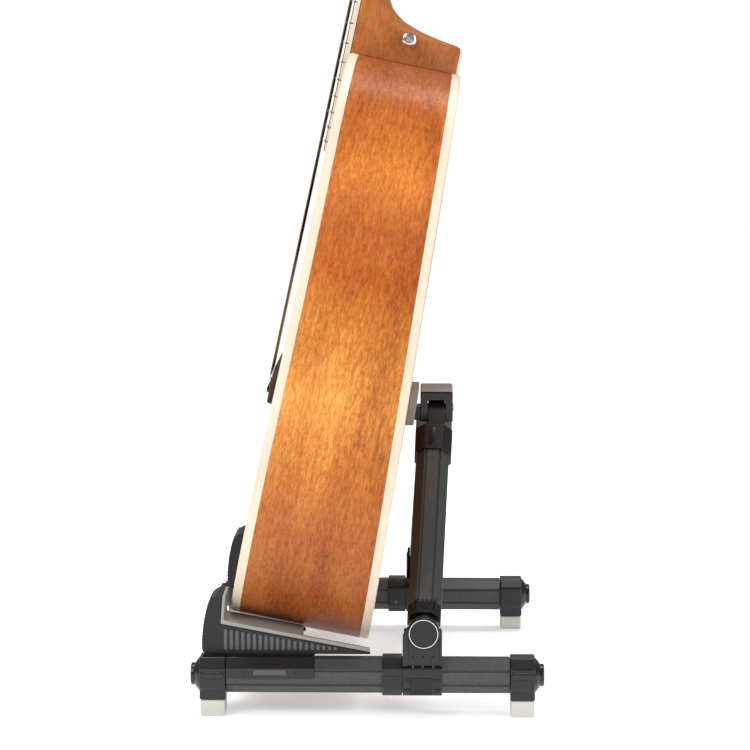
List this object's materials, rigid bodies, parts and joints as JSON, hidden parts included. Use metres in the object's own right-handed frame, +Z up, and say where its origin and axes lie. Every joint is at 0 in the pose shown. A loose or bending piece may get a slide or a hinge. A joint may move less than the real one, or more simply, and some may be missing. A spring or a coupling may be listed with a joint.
{
  "type": "acoustic guitar on folding stand",
  "caption": "Steel-string acoustic guitar leaning on a low folding A-frame floor stand with padded rests and rubber feet.",
  "frame": {"origin": "on the floor, at the centre of the bounding box's footprint", "axes": "+Z up, +X from the soundboard towards the guitar's back, +Y across the guitar to its treble side"},
  "size_m": [0.2892, 0.395, 1.0511],
  "materials": {
    "spruce": "satin",
    "mahogany": "satin",
    "cream_binding": "gloss",
    "rosewood": "matte",
    "bone": "satin",
    "chrome": "polished",
    "anodised_black": "satin anodised",
    "black_plastic": "moulded",
    "grey_rubber": "matte"
  },
  "bodies": {
    "stand_head": {"head": "black_plastic", "head_top_pad": "grey_rubber", "back_pad": "grey_rubber", "left_head_pin": "chrome", "right_head_pin": "chrome"},
    "guitar": {"soundboard": "spruce", "back": "mahogany", "sides": "mahogany", "binding_front": "cream_binding", "binding_back": "cream_binding", "neck": "mahogany", "fingerboard": "rosewood", "nut": "bone", "bridge": "rosewood", "saddle": "bone", "strap_button": "chrome", "tuner_bass_housing": "chrome", "tuner_treble_housing": "chrome"},
    "left_frame": {"left_ankle": "black_plastic", "left_upright": "anodised_black", "left_top_fitting": "black_plastic"},
    "left_leg": {"left_leg_tube": "anodised_black", "left_front_cap": "black_plastic", "left_front_foot": "grey_rubber", "left_rear_cap": "black_plastic", "left_rear_foot": "grey_rubber", "left_leg_collar": "black_plastic", "left_bracket": "black_plastic", "left_knob": "black_plastic", "left_arm": "black_plastic", "left_arm_pad": "grey_rubber", "left_carrier": "black_plastic"},
    "left_switch": {"left_lock_switch": "black_plastic"},
    "right_frame": {"right_ankle": "black_plastic", "right_upright": "anodised_black", "right_top_fitting": "black_plastic"},
    "right_leg": {"right_leg_tube": "anodised_black", "right_front_cap": "black_plastic", "right_front_foot": "grey_rubber", "right_rear_cap": "black_plastic", "right_rear_foot": "grey_rubber", "right_leg_collar": "black_plastic", "right_bracket": "black_plastic", "right_knob": "black_plastic", "right_arm": "black_plastic", "right_arm_pad": "grey_rubber", "right_carrier": "black_plastic"},
    "right_switch": {"right_lock_switch": "black_plastic"},
    "tuner_bass_1_key": {"tuner_bass_1_button": "chrome"},
    "tuner_bass_1_spindle": {"tuner_bass_1_post": "chrome"},
    "tuner_bass_2_key": {"tuner_bass_2_button": "chrome"},
    "tuner_bass_2_spindle": {"tuner_bass_2_post": "chrome"},
    "tuner_bass_3_key": {"tuner_bass_3_button": "chrome"},
    "tuner_bass_3_spindle": {"tuner_bass_3_post": "chrome"},
    "tuner_treble_1_key": {"tuner_treble_1_button": "chrome"},
    "tuner_treble_1_spindle": {"tuner_treble_1_post": "chrome"},
    "tuner_treble_2_key": {"tuner_treble_2_button": "chrome"},
    "tuner_treble_2_spindle": {"tuner_treble_2_post": "chrome"},
    "tuner_treble_3_key": {"tuner_treble_3_button": "chrome"},
    "tuner_treble_3_spindle": {"tuner_treble_3_post": "chrome"}
  },
  "joints": [
    {"name": "guitar_lift", "type": "slide", "parent": "stand_head", "child": "guitar", "axis": [0.1586, 0, 0.9873], "range_m": [0, 0.3]},
    {"name": "left_frame_fold", "type": "hinge", "parent": "stand_head", "child": "left_frame", "pos_m": [0.0552, -0.01, 0.23], "axis": [1, 0, 0], "range_deg": [0, 8]},
    {"name": "left_leg_fold", "type": "hinge", "parent": "left_frame", "child": "left_leg", "pos_m": [0.0457, -0.161, 0.0712], "axis": [0, -1, 0], "range_deg": [0, 80]},
    {"name": "left_switch_slide", "type": "slide", "parent": "left_leg", "child": "left_switch", "axis": [1, 0, 0], "range_m": [-0.003, 0.003]},
    {"name": "right_frame_fold", "type": "hinge", "parent": "stand_head", "child": "right_frame", "pos_m": [0.0552, 0.01, 0.23], "axis": [-1, 0, 0], "range_deg": [0, 8]},
    {"name": "right_leg_fold", "type": "hinge", "parent": "right_frame", "child": "right_leg", "pos_m": [0.0457, 0.161, 0.0712], "axis": [0, -1, 0], "range_deg": [0, 80]},
    {"name": "right_switch_slide", "type": "slide", "parent": "right_leg", "child": "right_switch", "axis": [1, 0, 0], "range_m": [-0.003, 0.003]},
    {"name": "tuner_bass_1_turn", "type": "hinge", "parent": "guitar", "child": "tuner_bass_1_key", "pos_m": [0.09588, -0.0273, 0.93132], "axis": [0, -1, 0], "continuous": true},
    {"name": "tuner_bass_1_wind", "type": "hinge", "parent": "guitar", "child": "tuner_bass_1_spindle", "pos_m": [0.09415, -0.0205, 0.93213], "axis": [-0.9063, 0, 0.4226], "continuous": true},
    {"name": "tuner_bass_2_turn", "type": "hinge", "parent": "guitar", "child": "tuner_bass_2_key", "pos_m": [0.11323, -0.0293, 0.96853], "axis": [0, -1, 0], "continuous": true},
    {"name": "tuner_bass_2_wind", "type": "hinge", "parent": "guitar", "child": "tuner_bass_2_spindle", "pos_m": [0.1115, -0.0225, 0.96933], "axis": [-0.9063, 0, 0.4226], "continuous": true},
    {"name": "tuner_bass_3_turn", "type": "hinge", "parent": "guitar", "child": "tuner_bass_3_key", "pos_m": [0.13057, -0.0313, 1.00574], "axis": [0, -1, 0], "continuous": true},
    {"name": "tuner_bass_3_wind", "type": "hinge", "parent": "guitar", "child": "tuner_bass_3_spindle", "pos_m": [0.12885, -0.0245, 1.00654], "axis": [-0.9063, 0, 0.4226], "continuous": true},
    {"name": "tuner_treble_1_turn", "type": "hinge", "parent": "guitar", "child": "tuner_treble_1_key", "pos_m": [0.09588, 0.0273, 0.93132], "axis": [0, 1, 0], "continuous": true},
    {"name": "tuner_treble_1_wind", "type": "hinge", "parent": "guitar", "child": "tuner_treble_1_spindle", "pos_m": [0.09415, 0.0205, 0.93213], "axis": [-0.9063, 0, 0.4226], "continuous": true},
    {"name": "tuner_treble_2_turn", "type": "hinge", "parent": "guitar", "child": "tuner_treble_2_key", "pos_m": [0.11323, 0.0293, 0.96853], "axis": [0, 1, 0], "continuous": true},
    {"name": "tuner_treble_2_wind", "type": "hinge", "parent": "guitar", "child": "tuner_treble_2_spindle", "pos_m": [0.1115, 0.0225, 0.96933], "axis": [-0.9063, 0, 0.4226], "continuous": true},
    {"name": "tuner_treble_3_turn", "type": "hinge", "parent": "guitar", "child": "tuner_treble_3_key", "pos_m": [0.13057, 0.0313, 1.00574], "axis": [0, 1, 0], "continuous": true},
    {"name": "tuner_treble_3_wind", "type": "hinge", "parent": "guitar", "child": "tuner_treble_3_spindle", "pos_m": [0.12885, 0.0245, 1.00654], "axis": [-0.9063, 0, 0.4226], "continuous": true}
  ],
  "couplings": [
    {"joint": "tuner_bass_1_wind", "follows": "tuner_bass_1_turn", "ratio": 0.071429},
    {"joint": "tuner_bass_2_wind", "follows": "tuner_bass_2_turn", "ratio": 0.071429},
    {"joint": "tuner_bass_3_wind", "follows": "tuner_bass_3_turn", "ratio": 0.071429},
    {"joint": "tuner_treble_1_wind", "follows": "tuner_treble_1_turn", "ratio": 0.071429},
    {"joint": "tuner_treble_2_wind", "follows": "tuner_treble_2_turn", "ratio": 0.071429},
    {"joint": "tuner_treble_3_wind", "follows": "tuner_treble_3_turn", "ratio": 0.071429}
  ]
}
